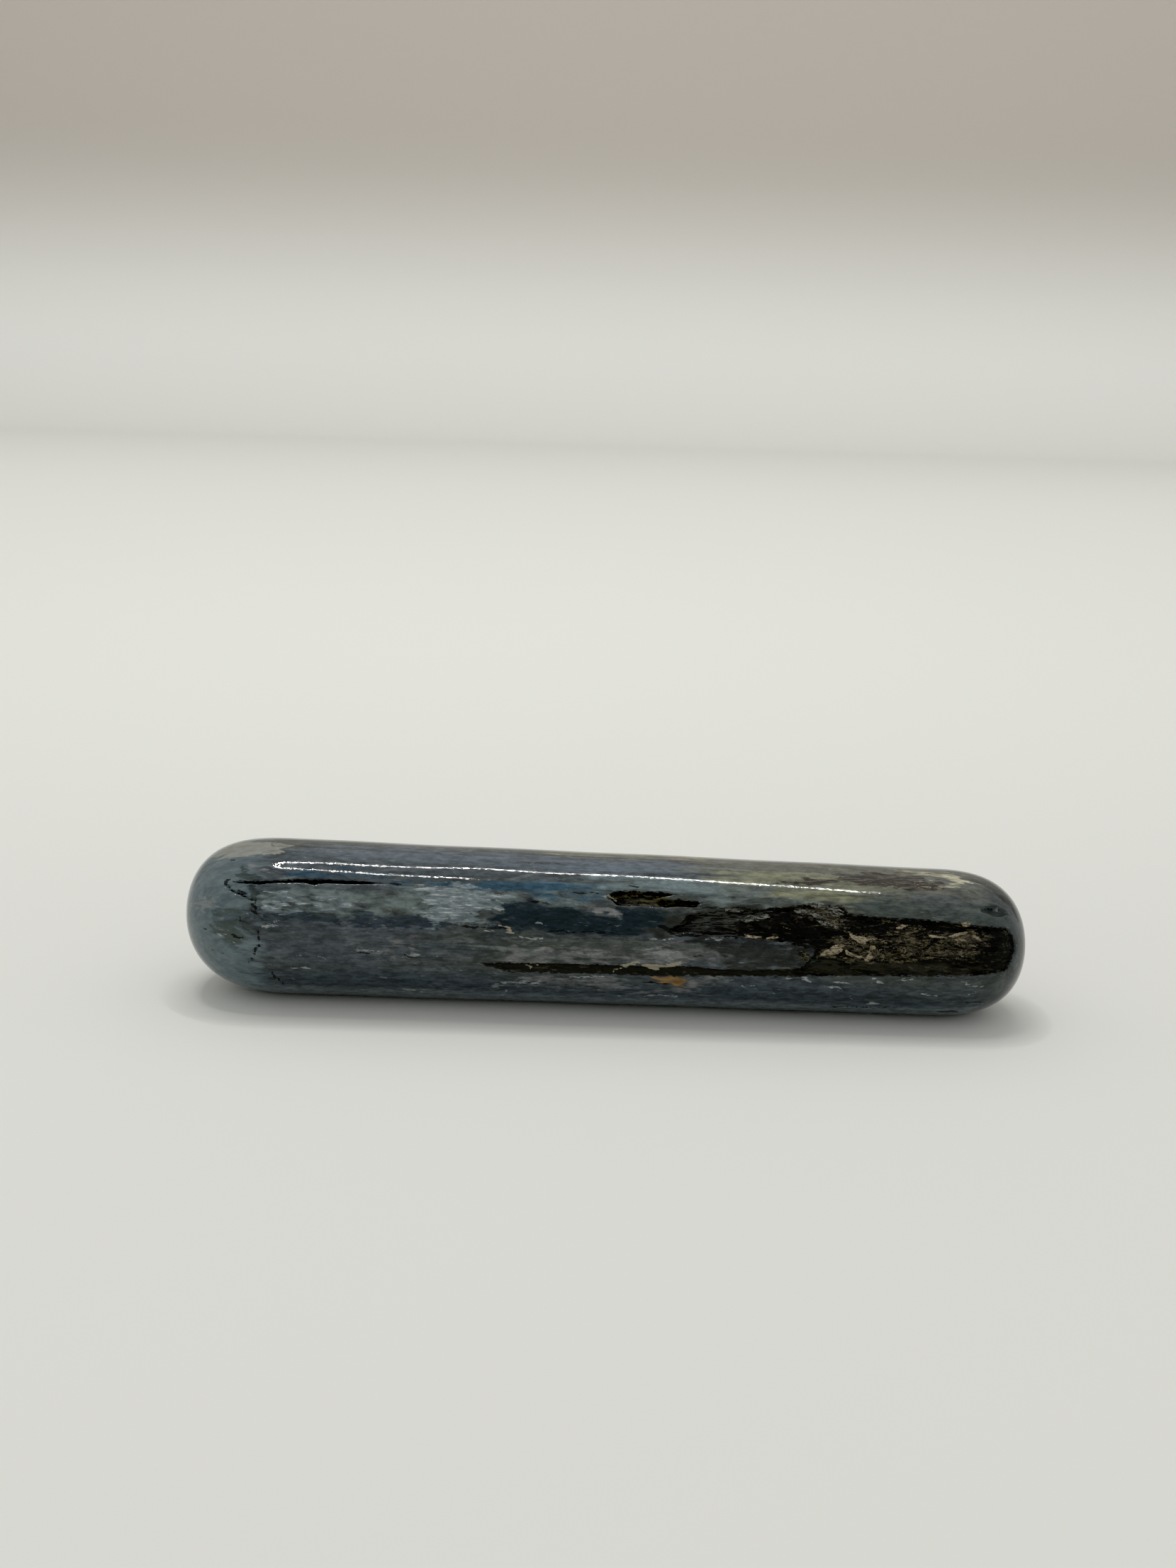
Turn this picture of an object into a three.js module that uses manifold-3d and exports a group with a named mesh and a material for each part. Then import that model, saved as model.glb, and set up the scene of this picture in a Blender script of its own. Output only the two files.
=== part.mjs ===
// A polished kyanite wand: one tapered rod of stone with rounded ends, lying on its side along X.
//
// Sizes are in millimetres. A place on the stone is written [along, turn]: along X from mid-length, and the
// turn in degrees round the rod from its top, over the front (-Y), under it and up the back (+Y).

import * as THREE from 'three';
import { mergeVertices } from 'three/addons/utils/BufferGeometryUtils.js';
import Module from 'manifold-3d';

const wasm = await Module();
wasm.setup();

// Driving dimensions of the rod
const length = 102;
const middleRadius = 9.22;
const taper = 0.007; // radius lost for each millimetre towards +X
const leftCap = { length: 13.8, along: 3, across: 2.25 };
const rightCap = { length: 12, along: 3, across: 2.42 };
const tipLift = { height: 0.45, reach: 14 }; // the left tip sits a little above the axis
const restDepth = 0.12; // ground off the underside, which leaves a flat about 3 mm wide

// Hand grinding leaves the rod a little out of round
const waviness = { height: 0.05, wavesAlong: 3.5, wavesRound: 3 };

// Facets of the polished skin, and of the finer broken surface inside the mica beds
const skinStations = 50;
const skinFacets = 56;
const bedStations = 92;
const bedFacets = 76;
const capCrowding = 0.65; // share of the cosine steps that crowd the stations towards the caps

// How far a cutter reaches above the skin, and below it where it only frames a bed
const cutterReach = 2;

// Vertices nearer than this are one vertex
const mergeDistance = 1e-5;

// Uneven numbers that mix a station and a facet into a random flake thickness
const scatterSeeds = { station: 12.9898, facet: 78.233, spread: 43758.5453 };

// Soft black mica, worn lower than the polished kyanite round it, in flakes
const micaBed = {
  depth: 0.34,
  flake: 0.2,
  outline: [
    [7, 71.5], [9, 64], [9.6, 58], [12, 55], [15, 52], [18, 51.2], [20.5, 48.8], [22.6, 47],
    [24.4, 44.6], [28, 46], [28.6, 52], [32, 53.8], [36, 54], [40, 54.8], [44, 56.8], [47.2, 55.8],
    [48.2, 62], [48.4, 74], [48, 86], [47.4, 94.6], [42, 96.6], [35, 98.2], [27, 100], [22, 101.2],
    [23.4, 92], [24.6, 83], [22, 76.4], [17, 73], [12, 73.2],
  ],
};
const lowerStreak = {
  depth: 0.16,
  flake: 0.06,
  outline: [
    [-14.6, 100], [-12, 99], [-5, 98.2], [2, 98], [5.4, 97], [9.4, 96], [13, 97.6], [17, 98], [20.6, 96],
    [21.4, 101.4], [17, 103], [12, 104.2], [6, 106], [0, 105.8], [-5, 106.4], [-9, 107], [-12, 105.6],
  ],
};
const backBed = {
  depth: 0.3,
  flake: 0.18,
  outline: [
    [-33, 236], [-28, 228], [-20, 224], [-11, 226], [-4, 221], [5, 224], [12, 230], [8, 238], [-1, 241],
    [-6, 250], [-14, 254], [-20, 247], [-27, 245],
  ],
};
const backStreak = {
  depth: 0.15,
  flake: 0.06,
  outline: [
    [14, 282], [22, 279], [30, 281], [39, 279], [42, 283], [35, 287], [27, 286], [19, 288],
  ],
};

// Open hollows in the skin, each an outline and a depth
const slit = {
  depth: 0.9,
  outline: [
    [-44.4, 46.4], [-41, 46.2], [-38.5, 45], [-36, 43], [-33, 42.6], [-30, 42.5], [-27.6, 42.8],
    [-25.8, 43.9], [-27.6, 44.9], [-30, 45], [-33, 45.4], [-34.4, 46.8], [-36, 45.6], [-38.5, 47],
    [-41, 48.4], [-43, 48.2],
  ],
};
const notch = {
  depth: 0.65,
  outline: [
    [-0.1, 46.4], [0.4, 44.2], [1.1, 41.4], [4, 40.2], [7, 40.8], [8.7, 42.2], [7, 44.2], [6.4, 45.8],
    [9, 46.2], [11.7, 47.6], [10.8, 50], [11, 52.2], [6, 52.8], [1.4, 53.2], [0.9, 49.8],
  ],
};
const pit = {
  depth: 0.7,
  outline: [
    [44.1, 41.4], [45, 38.6], [46.5, 36.8], [47.5, 38.4], [47.4, 43], [46.6, 46.2], [45.4, 46.8],
    [44.4, 44.8],
  ],
};
const backSlit = {
  depth: 0.7,
  outline: [
    [-22, 311.8], [-17, 310.6], [-11, 311.4], [-6.4, 313.2], [-11, 314.2], [-17, 313.6],
  ],
};
const backPit = {
  depth: 0.6,
  outline: [
    [29.4, 252], [31, 248.4], [33.4, 248.6], [34.2, 252.4], [32.8, 256.4], [30.6, 256.8],
  ],
};

// Broken cracks across and along the stone, each a width, a depth and the line that it follows
const crackEndShare = 0.3; // how much of a crack's width is left at its ends
const cracks = [
  { width: 0.42, depth: 0.5, line: [[-44.6, 48], [-44.2, 53], [-42.6, 57], [-41.2, 61], [-40.7, 71]] },
  { width: 0.5, depth: 0.5, line: [[-42.6, 72.6], [-42.4, 79]] },
  {
    width: 0.42,
    depth: 0.45,
    line: [[-40.3, 80], [-40.6, 86], [-40.2, 92], [-41, 98], [-41.2, 105], [-42.1, 110.4]],
  },
  { width: 0.32, depth: 0.4, line: [[-39.2, 114], [-39.2, 119], [-38.6, 124], [-38, 130]] },
  { width: 0.24, depth: 0.35, line: [[26, 137], [31, 135.4], [36, 134]] },
  { width: 0.3, depth: 0.35, line: [[-40.6, 262], [-39.8, 272], [-40.9, 281], [-40.2, 292], [-41.2, 301]] },
  { width: 0.26, depth: 0.35, line: [[6, 330], [13, 332.4], [21, 331.6]] },
];

const radians = THREE.MathUtils.degToRad;

// Radius of the rod before the caps close it
function bodyRadius(along) {
  return middleRadius - taper * along;
}

// Share of the body radius that a cap leaves, from 1 at its start to 0 at its tip
function capShare(cap, fromStart) {
  const part = THREE.MathUtils.clamp(fromStart / cap.length, 0, 1);
  return (1 - part ** cap.along) ** (1 / cap.across);
}

function skinRadius(along) {
  const left = capShare(leftCap, leftCap.length - length / 2 - along);
  const right = capShare(rightCap, along + rightCap.length - length / 2);
  return bodyRadius(along) * left * right;
}

// The axis keeps the underside level, and rises a little towards the left tip
function axisHeight(along) {
  const part = THREE.MathUtils.clamp((tipLift.reach - length / 2 - along) / tipLift.reach, 0, 1);
  return bodyRadius(along) - restDepth + tipLift.height * part * part;
}

function place(along, turn, radius) {
  return new THREE.Vector3(along, -radius * Math.sin(turn), axisHeight(along) + radius * Math.cos(turn));
}

// Long shallow waves, weaker where the radius is small so that the tips stay closed
function wave(along, turn) {
  const alongPart = Math.sin((along / length) * 2 * Math.PI * waviness.wavesAlong);
  const roundPart = Math.cos(turn * waviness.wavesRound + along / middleRadius);
  return waviness.height * alongPart * roundPart * (skinRadius(along) / middleRadius);
}

// A repeatable random number from 0 to 1 for one station and one facet: the far decimals of a sine
function scatter(station, facet) {
  const mixed = Math.sin(station * scatterSeeds.station + facet * scatterSeeds.facet) * scatterSeeds.spread;
  return mixed - Math.floor(mixed);
}

// A closed mesh with merged vertices and no collapsed triangles, as a solid
function solidOf(geometry) {
  geometry.deleteAttribute('normal');
  geometry.deleteAttribute('uv');
  const merged = mergeVertices(geometry, mergeDistance);
  const corners = merged.index.array;
  const kept = [];
  for (let i = 0; i < corners.length; i += 3) {
    const [a, b, c] = [corners[i], corners[i + 1], corners[i + 2]];
    if (a !== b && b !== c && c !== a) kept.push(a, b, c);
  }
  const mesh = new wasm.Mesh({
    numProp: 3,
    vertProperties: new Float32Array(merged.attributes.position.array),
    triVerts: new Uint32Array(kept),
  });
  return new wasm.Manifold(mesh);
}

// The rod turned from its profile, sunk by a depth and a random share of a flake thickness
function rod(stations, facets, depth, flake) {
  const profile = [];
  for (let i = 0; i <= stations; i += 1) {
    const even = i / stations;
    const crowded = (1 - Math.cos(Math.PI * even)) / 2;
    const along = (THREE.MathUtils.lerp(even, crowded, capCrowding) - 0.5) * length;
    profile.push(new THREE.Vector2(i === 0 || i === stations ? 0 : skinRadius(along), along));
  }
  const geometry = new THREE.LatheGeometry(profile, facets);
  const position = geometry.attributes.position;
  for (let i = 0; i < position.count; i += 1) {
    const station = i % (stations + 1);
    const facet = Math.floor(i / (stations + 1)) % facets;
    const along = position.getY(i);
    const turn = (facet / facets) * 2 * Math.PI;
    const bare = station === 0 || station === stations ? 0 : skinRadius(along);
    const sunk = bare + wave(along, turn) - depth - flake * (scatter(station, facet) - 0.5) * 2;
    const point = place(along, turn, bare === 0 ? 0 : Math.max(sunk, bare / 2));
    position.setXYZ(i, point.x, point.y, point.z);
  }
  return solidOf(geometry);
}

// A block that stands over an outline on the skin, from a depth below it to the reach above it
function block(outline, depth) {
  const shape = new THREE.Shape();
  outline.forEach(([along, turn], i) => {
    const across = radians(turn) * middleRadius;
    if (i === 0) shape.moveTo(along, across);
    else shape.lineTo(along, across);
  });
  shape.closePath();
  const height = depth + cutterReach;
  const geometry = new THREE.ExtrudeGeometry(shape, { depth: height, bevelEnabled: false, steps: 1 });
  const position = geometry.attributes.position;
  for (let i = 0; i < position.count; i += 1) {
    const along = position.getX(i);
    const turn = position.getY(i) / middleRadius;
    const point = place(along, turn, skinRadius(along) - depth + position.getZ(i));
    position.setXYZ(i, point.x, point.y, point.z);
  }
  // Bending the flat outline onto the rod mirrors it, so each triangle is turned over
  for (let i = 0; i < position.count; i += 3) {
    const second = new THREE.Vector3().fromBufferAttribute(position, i + 1);
    const third = new THREE.Vector3().fromBufferAttribute(position, i + 2);
    position.setXYZ(i + 1, third.x, third.y, third.z);
    position.setXYZ(i + 2, second.x, second.y, second.z);
  }
  return solidOf(geometry);
}

// The outline of a crack: out along one side of its line and back along the other, narrow at both ends
function crackOutline({ width, line }) {
  const degreesWide = THREE.MathUtils.radToDeg(width / middleRadius);
  const side = (sign) => line.map(([along, turn], i) => {
    const [beforeAlong, beforeTurn] = line[Math.max(i - 1, 0)];
    const [afterAlong, afterTurn] = line[Math.min(i + 1, line.length - 1)];
    const way = new THREE.Vector2(afterAlong - beforeAlong, radians(afterTurn - beforeTurn) * middleRadius);
    way.normalize();
    const half = (i === 0 || i === line.length - 1 ? crackEndShare : 1) / 2;
    return [along - sign * way.y * width * half, turn + sign * way.x * degreesWide * half];
  });
  return [...side(1), ...side(-1).reverse()];
}

// A bed is what lies over a sunken rod, inside its outline
function sink(stone, bed) {
  const frame = block(bed.outline, cutterReach);
  const floor = rod(bedStations, bedFacets, bed.depth, bed.flake);
  return stone.subtract(frame.subtract(floor));
}

function kyaniteWand() {
  let stone = rod(skinStations, skinFacets, 0, 0);
  for (const bed of [micaBed, lowerStreak, backBed, backStreak]) stone = sink(stone, bed);
  for (const hollow of [slit, notch, pit, backSlit, backPit]) {
    stone = stone.subtract(block(hollow.outline, hollow.depth));
  }
  for (const crack of cracks) stone = stone.subtract(block(crackOutline(crack), crack.depth));

  // The flat along the underside, cut level at the floor
  const below = new THREE.BoxGeometry(2 * length, length, length).translate(0, 0, -length / 2);
  stone = stone.subtract(solidOf(below));

  const cut = stone.getMesh();
  const geometry = new THREE.BufferGeometry();
  geometry.setAttribute('position', new THREE.BufferAttribute(new Float32Array(cut.vertProperties), 3));
  geometry.setIndex(new THREE.BufferAttribute(new Uint32Array(cut.triVerts), 1));
  geometry.computeVertexNormals();

  // The stone is centred over the origin; its flat stays on the floor
  geometry.computeBoundingBox();
  const centre = geometry.boundingBox.getCenter(new THREE.Vector3());
  geometry.translate(-centre.x, -centre.y, 0);

  const polishedStone = new THREE.MeshStandardMaterial({ color: 0x3d484c, roughness: 0.18, metalness: 0 });
  const mesh = new THREE.Mesh(geometry, polishedStone);
  mesh.name = 'kyanite_wand';
  return mesh;
}

const wand = new THREE.Group();
wand.add(kyaniteWand());

export default wand;
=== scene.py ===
import math

import bmesh
import bpy
import numpy as np
from mathutils import Matrix, Vector


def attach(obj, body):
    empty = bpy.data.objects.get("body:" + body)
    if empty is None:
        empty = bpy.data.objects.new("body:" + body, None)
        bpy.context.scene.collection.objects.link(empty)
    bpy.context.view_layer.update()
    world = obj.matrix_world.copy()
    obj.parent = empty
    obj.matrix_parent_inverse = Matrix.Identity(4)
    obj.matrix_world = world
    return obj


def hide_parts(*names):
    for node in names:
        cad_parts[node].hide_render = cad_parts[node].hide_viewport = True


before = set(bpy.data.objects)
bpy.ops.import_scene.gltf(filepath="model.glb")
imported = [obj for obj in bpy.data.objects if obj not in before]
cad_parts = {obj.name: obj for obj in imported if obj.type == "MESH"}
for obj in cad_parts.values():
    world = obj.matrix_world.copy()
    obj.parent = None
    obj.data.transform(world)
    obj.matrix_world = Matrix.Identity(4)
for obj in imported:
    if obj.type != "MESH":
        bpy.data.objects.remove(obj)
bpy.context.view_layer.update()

# Lengths are in millimetres until a mesh is finished. A place on the stone is (along, turn): along X from
# mid-length, and the turn in degrees from the top, positive over the front and negative over the back.
mm = 0.001

wand = {
    "length": 102.0,
    "middleRadius": 9.22,
    "taper": 0.007,             # radius lost for each millimetre towards +X
    "leftCap": (13.8, 3.0, 2.25),    # length, and the two powers that round it
    "rightCap": (12.0, 3.0, 2.42),
    "tipLift": (0.45, 14.0),    # how far the left tip sits above the axis, and over what reach
    "restDepth": 0.12,          # ground off the underside
    "capStations": (46, 40),
    "stretches": ((-37.2, -36, 3), (-36, 8, 104), (8, 39, 96)),   # from, to, steps along the body
    "sweeps": ((214, 112), (108, 160), (38, 32)),   # degrees and steps: up the back, over the front, under
    "waviness": (0.05, 3.5, 3),
}


def skinRadius(along):
    body = wand["middleRadius"] - wand["taper"] * along
    for fromStart, (length, alongPower, acrossPower) in (
        (wand["leftCap"][0] - wand["length"] / 2 - along, wand["leftCap"]),
        (along + wand["rightCap"][0] - wand["length"] / 2, wand["rightCap"]),
    ):
        share = np.clip(fromStart / length, 0, 1)
        body = body * (1 - share ** alongPower) ** (1 / acrossPower)
    return body


def axisHeight(along):
    lift, reach = wand["tipLift"]
    share = np.clip((reach - wand["length"] / 2 - along) / reach, 0, 1)
    return wand["middleRadius"] - wand["taper"] * along - wand["restDepth"] + lift * share ** 2


def crowded(steps):
    # Shares from 0 towards 1 that start close together, for the stations of a cap
    return [1 - math.cos(math.pi / 2 * i / steps) for i in range(steps)]


def rodStations():
    half = wand["length"] / 2
    leftSteps, rightSteps = wand["capStations"]
    stations = [-half + wand["leftCap"][0] * share for share in crowded(leftSteps)]
    for start, end, steps in wand["stretches"]:
        stations += [start + (end - start) * i / steps for i in range(steps)]
    return stations + [half - wand["rightCap"][0] * share for share in reversed(crowded(rightSteps))]


# The broken places that are cut into the stone, each an outline, or a line with a width

micaBeds = {
    "front": [(7, 71.5), (9, 64), (9.6, 58), (12, 55), (15, 52), (18, 51.2), (20.5, 48.8), (22.6, 47),
              (24.4, 44.6), (28, 46), (28.6, 52), (32, 53.8), (36, 54), (40, 54.8), (44, 56.8), (47.2, 55.8),
              (48.2, 62), (48.4, 74), (48, 86), (47.4, 94.6), (42, 96.6), (35, 98.2), (27, 100), (22, 101.2),
              (23.4, 92), (24.6, 83), (22, 76.4), (17, 73), (12, 73.2)],
    "back": [(-33, -124), (-28, -132), (-20, -136), (-11, -134), (-4, -139), (5, -136), (12, -130), (8, -122),
             (-1, -119), (-6, -110), (-14, -106), (-20, -113), (-27, -115)],
    "depth": 0.34,
    "flake": 0.2,
    "leaf": (3.4, 1.5),         # the size of a flake along and across
    "lean": 0.8,                # how far the flakes lie askew
    "rim": 0.25,                # how far inside its outline a bed is at its full depth
    "seed": 2,
}

streaks = {
    "front": [(-14.6, 100), (-12, 99), (-5, 98.2), (2, 98), (5.4, 97), (9.4, 96), (13, 97.6), (17, 98),
              (23.6, 95), (23.6, 101.4), (17, 103), (12, 104.2), (6, 106), (0, 105.8), (-5, 106.4), (-9, 107),
              (-12, 105.6)],
    "back": [(14, -78), (22, -81), (30, -79), (39, -81), (42, -77), (35, -73), (27, -74), (19, -72)],
    "depth": 0.15,
    "flake": 0.05,
    "rim": 0.3,
}

hollows = {
    "slit": (0.9, [(-44.4, 46.4), (-41, 46.2), (-38.5, 45), (-36, 43), (-33, 42.6), (-30, 42.5),
                   (-27.6, 42.8), (-25.8, 43.9), (-27.6, 44.9), (-30, 45), (-33, 45.4), (-34.4, 46.8),
                   (-36, 45.6), (-38.5, 47), (-41, 48.4), (-43, 48.2)]),
    "notch": (0.65, [(-0.1, 46.4), (0.4, 44.2), (1.1, 41.4), (4, 40.2), (7, 40.8), (8.7, 42.2), (7, 44.2),
                     (6.4, 45.8), (9, 46.2), (11.7, 47.6), (10.8, 50), (11, 52.2), (6, 52.8), (1.4, 53.2),
                     (0.9, 49.8)]),
    "pit": (0.7, [(44.1, 41.4), (45, 38.6), (46.5, 36.8), (47.5, 38.4), (47.4, 43), (46.6, 46.2),
                  (45.4, 46.8), (44.4, 44.8)]),
    "backSlit": (0.7, [(-22, -48.2), (-17, -49.4), (-11, -48.6), (-6.4, -46.8), (-11, -45.8), (-17, -46.4)]),
    "backPit": (0.6, [(29.4, -108), (31, -111.6), (33.4, -111.4), (34.2, -107.6), (32.8, -103.6),
                      (30.6, -103.2)]),
}

hollowWalls = {"slit": 0.22, "others": 0.35}    # how wide the slope down from the rim is
wallsBegin = {"hollow": -0.02, "crack": -0.03}  # just outside the outline
rimTearing, floorTearing = 0.5, 0.8             # how much of the raggedness they take

# The larger leaves in the mica, which stand a little proud of it
plateRise = 0.09
plates = {
    "beigePlates": [
        [(28.7, 66.4), (29.4, 68.4), (30.3, 69), (31.9, 69.8), (30.9, 71.6), (30.5, 73), (30.7, 75.8),
         (29.8, 73.6), (29.2, 71.2), (28.7, 69)],
        [(25, 84.6), (26, 80), (27.2, 75.4), (28.5, 75.4), (27.7, 78), (28, 79.4), (27.4, 82.6),
         (26.3, 84.4)],
        [(28.3, 78.6), (28.7, 81), (29.3, 82.8), (30.5, 84.2), (30, 85.4), (29, 84.2), (28.3, 82.6)],
        [(30.4, 87.4), (30.8, 83.6), (31, 81), (30.5, 78.8), (31.2, 80), (31.5, 84), (31, 88)],
        [(31, 75.2), (31.9, 75.6), (31.8, 78.8), (31.2, 78.2)],
        [(39.7, 67.2), (40.6, 64.4), (42, 61.8), (42.9, 59.6), (42.4, 62.8), (41.4, 65.4), (40.8, 66.8)],
        [(40.8, 67.6), (41.6, 66.6), (42.5, 68.2), (42, 69.6), (40.9, 69)],
        [(41.6, 55.2), (42.7, 54.8), (42.9, 57), (42, 58.2)],
        [(37.8, 65.2), (39.4, 66), (39.8, 67), (38, 67.4)],
        [(33.9, 61.8), (34.8, 58.4), (35.9, 58.4), (35, 60.4), (34.4, 62.2)],
        [(43.1, 63.4), (43.9, 65.2), (44.3, 68.6), (43.6, 67.2), (43, 65)],
        [(16.3, 70.4), (17.6, 71.4), (18.5, 72.2), (17.4, 73.2), (16.6, 72.6)],
        [(18.7, 73.4), (19.4, 71.7), (20.7, 70.8), (20.2, 72.6), (19.6, 73.4)],
        [(20.9, 63.6), (21.5, 64.4), (22.1, 65.8), (21.4, 65.4)],
        [(-18, -112), (-14.6, -110), (-13, -113), (-16, -116)],
        [(-12, -120), (-8.6, -118), (-8, -122), (-11, -124)],
    ],
    "olivePlates": [
        [(26.2, 84.4), (28, 84.4), (29, 86.4), (27, 86.6), (25.3, 85.8)],
        [(31.7, 84), (32.6, 79.6), (32.9, 84), (32.7, 87.4), (32, 87)],
        [(34.5, 76), (35.2, 72.6), (35.5, 80), (35.7, 86.4), (34.7, 82)],
        [(36.5, 72), (37.6, 67.6), (38.3, 70), (37.5, 75), (36.9, 77), (36.1, 74.4)],
        [(37.7, 76), (39.4, 69), (39.9, 68.2), (39.7, 73), (38.9, 78.2), (37.7, 79.4)],
        [(35.9, 84), (38, 82), (39.5, 79), (38.7, 82.8), (37, 86), (35.7, 86.4)],
        [(32.8, 85.8), (34.4, 85.8), (35.7, 88.4), (34.6, 88.6), (33.6, 87.4)],
        [(31.5, 80.8), (33, 81.2), (34.2, 83.6), (33, 83.4)],
        [(35.3, 60.4), (36.4, 59.2), (37.2, 62), (36.3, 64), (35.3, 63)],
        [(32.3, 54.4), (33.2, 55), (34.4, 56.8), (33.2, 57.6), (32.5, 58.6)],
        [(33, 64), (34.9, 62.8), (34.5, 66), (32.9, 67)], [(42, 76.6), (43.3, 79), (43.5, 82), (42.3, 81.2)],
        [(41.8, 62.4), (43.2, 59.2), (43.9, 58.4), (43.2, 61.8), (42.4, 63.6)],
        [(43.9, 68), (45.1, 70.6), (45.4, 72.8), (44.1, 72.8)],
        [(40.3, 70.8), (42, 70), (43.1, 69.2), (42.4, 71.8), (41, 72.2)],
        [(28, 73), (28.7, 70), (28.9, 74.8), (28.1, 75.2)], [(32, 70), (34, 69), (34.4, 72), (32.6, 74)],
        [(29.6, 77), (30.6, 77.4), (30, 80), (29.2, 79.6)],
        [(22.6, 83), (23.3, 79.6), (24, 83), (24.1, 88), (23.5, 90), (22.8, 86)],
        [(46.6, 58), (47.4, 57.6), (47.6, 61), (47, 62)],
        [(-21, -122), (-17, -120), (-16, -124), (-19, -126)],
        [(-6, -114), (-2, -116), (-3, -120), (-6, -118)],
    ],
    "silverPlates": [
        [(24, 43.4), (25, 44), (26.4, 44.8), (27.5, 47.2), (28.1, 50.2), (27.2, 50.2), (26, 48.4),
         (25, 47.6), (24.1, 46.4)],
        [(22.1, 50.2), (23, 48.4), (23.7, 50), (23.5, 53.4), (22.6, 52.8)],
        [(23.8, 50.8), (25, 52.4), (25.7, 55.8), (24.8, 55.4), (24, 53.4)],
        [(24.8, 57.4), (26, 58.2), (27.6, 62.6), (26.4, 61.8), (25.2, 60.2)],
        [(26, 49.4), (27.6, 50.8), (28.7, 52.6), (27, 52.2)],
        [(16.1, 56.8), (17.6, 54.6), (19, 54.2), (19.5, 56.2), (18.4, 58.4), (17, 59.2)],
        [(15.4, 59.8), (17, 59), (18.3, 59.6), (16.4, 61.4)],
        [(14, 52), (15.4, 51.4), (16.7, 52.4), (15.2, 53.8), (14, 53.6)],
        [(-26, -122), (-23.6, -120), (-22.6, -123), (-25, -126)],
    ],
}

cracks = {     # width, depth, line
    "upperLeft": (0.24, 0.5, [(-44.6, 48), (-44.2, 53), (-42.6, 57), (-41.2, 61), (-40.7, 71)]),
    "midLeft": (0.42, 0.5, [(-42.6, 72.6), (-42.4, 79)]),
    "lowerLeft": (0.34, 0.45, [(-40.3, 80), (-40.6, 86), (-40.2, 92), (-41, 98), (-41.2, 105),
                               (-42.1, 110.4)]),
    "footLeft": (0.32, 0.4, [(-39.2, 114), (-39.2, 119), (-38.6, 124), (-38, 130)]),
    "lowerRight": (0.24, 0.35, [(26, 137), (31, 135.4), (36, 134)]),
    "backAcross": (0.3, 0.35, [(-40.6, -98), (-39.8, -88), (-40.9, -79), (-40.2, -68), (-41.2, -59)]),
    "backAlong": (0.26, 0.35, [(6, -30), (13, -27.6), (21, -28.4)]),
}


def arcOf(turn):
    return np.radians(turn) * wand["middleRadius"]


def ease(value, low, high):
    share = np.clip((value - low) / (high - low), 0, 1)
    return share * share * (3 - 2 * share)


def toEdge(x, y, start, end):
    # The point of an edge that is nearest to each place: its share of the way, and how far off it is
    (x0, y0), (x1, y1) = start, end
    share = ((x - x0) * (x1 - x0) + (y - y0) * (y1 - y0)) / ((x1 - x0) ** 2 + (y1 - y0) ** 2)
    share = np.clip(share, 0, 1)
    return share, np.hypot(x - x0 - share * (x1 - x0), y - y0 - share * (y1 - y0))


def insideOutline(places, along, turn):
    # How far each vertex lies inside an outline, in millimetres; outside it the number is negative
    corners = np.array([(s, arcOf(t)) for s, t in places])
    x, y = along, arcOf(turn)
    nearest = np.full(len(x), 1e9)
    inside = np.zeros(len(x), bool)
    for (x0, y0), (x1, y1) in zip(corners, np.roll(corners, -1, axis=0)):
        nearest = np.minimum(nearest, toEdge(x, y, (x0, y0), (x1, y1))[1])
        if y0 != y1:
            crosses = ((y0 > y) != (y1 > y)) & (x < (x1 - x0) * (y - y0) / (y1 - y0) + x0)
            inside ^= crosses
    return np.where(inside, nearest, -nearest)


def insideLine(width, places, along, turn):
    # The same for a line of a given width, which narrows to nothing at both ends
    points = np.array([(s, arcOf(t)) for s, t in places])
    steps = np.hypot(*np.diff(points, axis=0).T)
    total = steps.sum()
    x, y = along, arcOf(turn)
    nearest = np.full(len(x), 1e9)
    place = np.zeros(len(x))
    walked = 0.0
    for start, end, step in zip(points, points[1:], steps):
        share, distance = toEdge(x, y, start, end)
        closer = distance < nearest
        nearest = np.where(closer, distance, nearest)
        place = np.where(closer, (walked + share * step) / total, place)
        walked += step
    return width / 2 * np.sqrt(np.clip(1 - (2 * place - 1) ** 4, 0, 1)) - nearest


def randomAt(column, row, seed):
    # A repeatable number from 0 to 1 for each square of a grid: the far decimals of a sine
    mixed = np.sin(column * 127.1 + row * 311.7 + seed * 74.7) * 43758.5453
    return mixed - np.floor(mixed)


def ripple(along, turn, size, seed):
    # Smooth noise from -1 to 1 over the skin, its lumps of a given size along and across
    x, y = along / size[0], arcOf(turn) / size[1]
    column, row = np.floor(x), np.floor(y)
    across, up = ease(x - column, 0, 1), ease(y - row, 0, 1)
    low = randomAt(column, row, seed) * (1 - across) + randomAt(column + 1, row, seed) * across
    high = randomAt(column, row + 1, seed) * (1 - across) + randomAt(column + 1, row + 1, seed) * across
    return 2 * (low * (1 - up) + high * up) - 1


ripples = {     # for each wave its height, the size of its lumps along and across, and its seed
    "ragged": ((0.16, (0.8, 0.5), 3), (0.08, (0.4, 0.25), 8)),
    "tornAlong": ((1.7, (1.6, 0.45), 21), (0.8, (0.7, 0.24), 22)),
    "tornTurn": ((3.2, (2.2, 0.8), 23), (1.4, (0.8, 0.3), 24)),
    "bentAlong": ((0.5, (0.8, 0.3), 25),),
    "bentTurn": ((1.2, (0.6, 0.4), 26),),
}


def rippled(name):
    return sum(height * ripple(along, turn, size, seed) for height, size, seed in ripples[name])


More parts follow.
